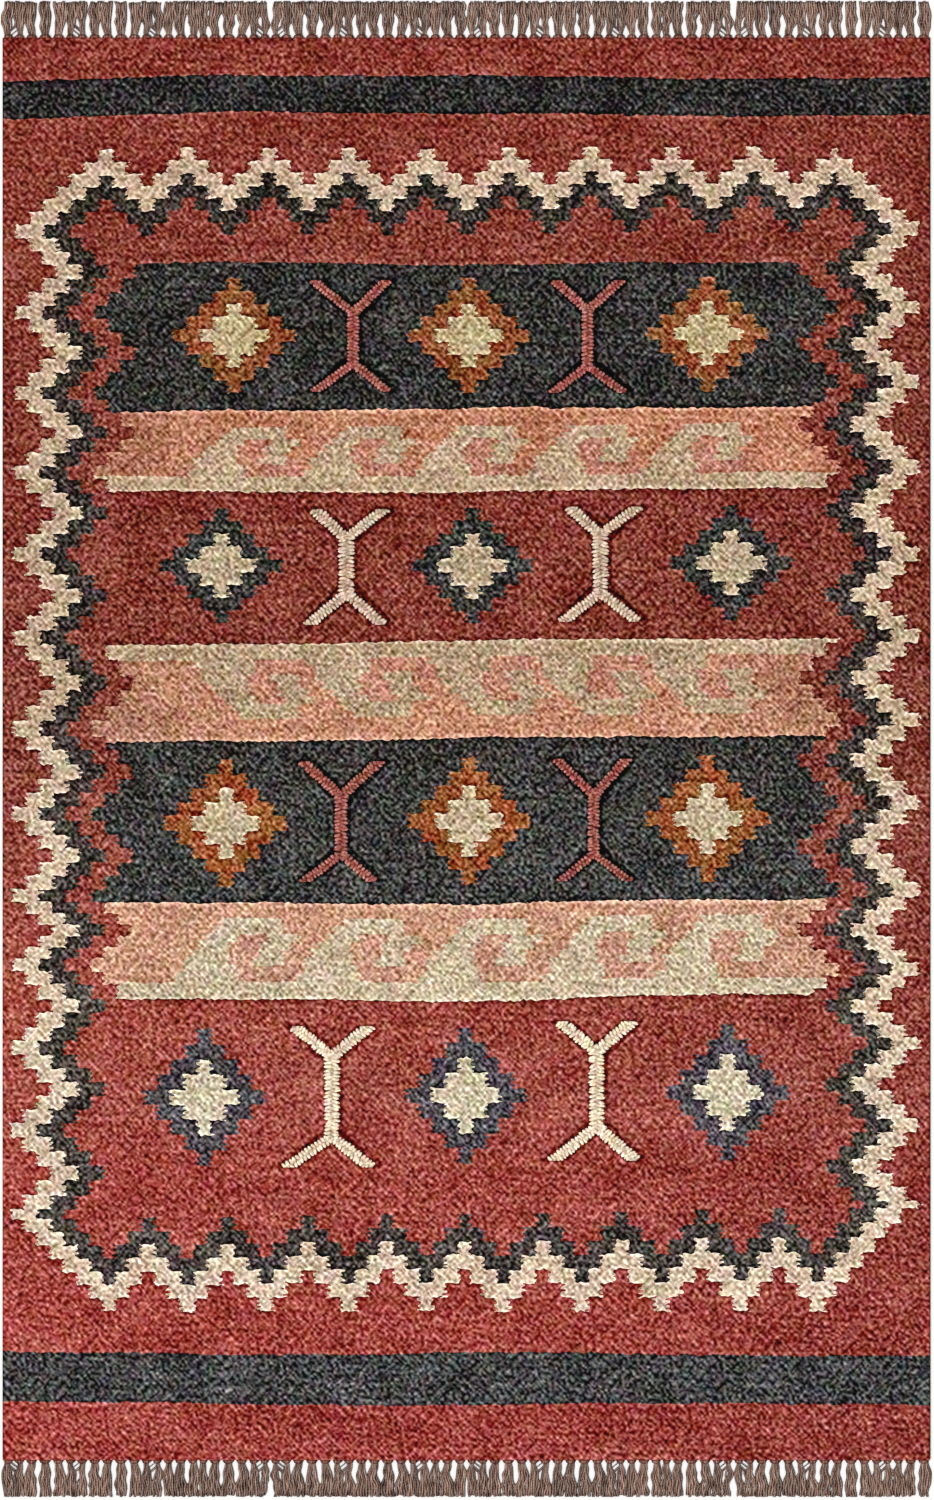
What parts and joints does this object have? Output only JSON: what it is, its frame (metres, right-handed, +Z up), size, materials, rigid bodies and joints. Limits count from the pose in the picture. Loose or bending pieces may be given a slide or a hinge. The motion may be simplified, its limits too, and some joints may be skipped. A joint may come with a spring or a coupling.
{
  "type": "kilim rug",
  "caption": "Flat-woven kilim floor rug with a zigzag frame, banded field, wrapped forked figures and a warp fringe at both ends.",
  "frame": {"origin": "on the floor under the middle of the rug", "axes": "+X across the rug, +Y along it towards the far fringe, +Z up from the floor"},
  "size_m": [1.524, 2.458, 0.0065],
  "materials": {
    "woven_wool": "hand-spun wool weft over hidden warps, ribbed and slightly hairy, no shine",
    "warp_cord": "twisted undyed warp cord, taupe"
  },
  "bodies": {
    "root": {"woven_field": "woven_wool", "fringe_far": "warp_cord", "fringe_near": "warp_cord"}
  },
  "joints": []
}
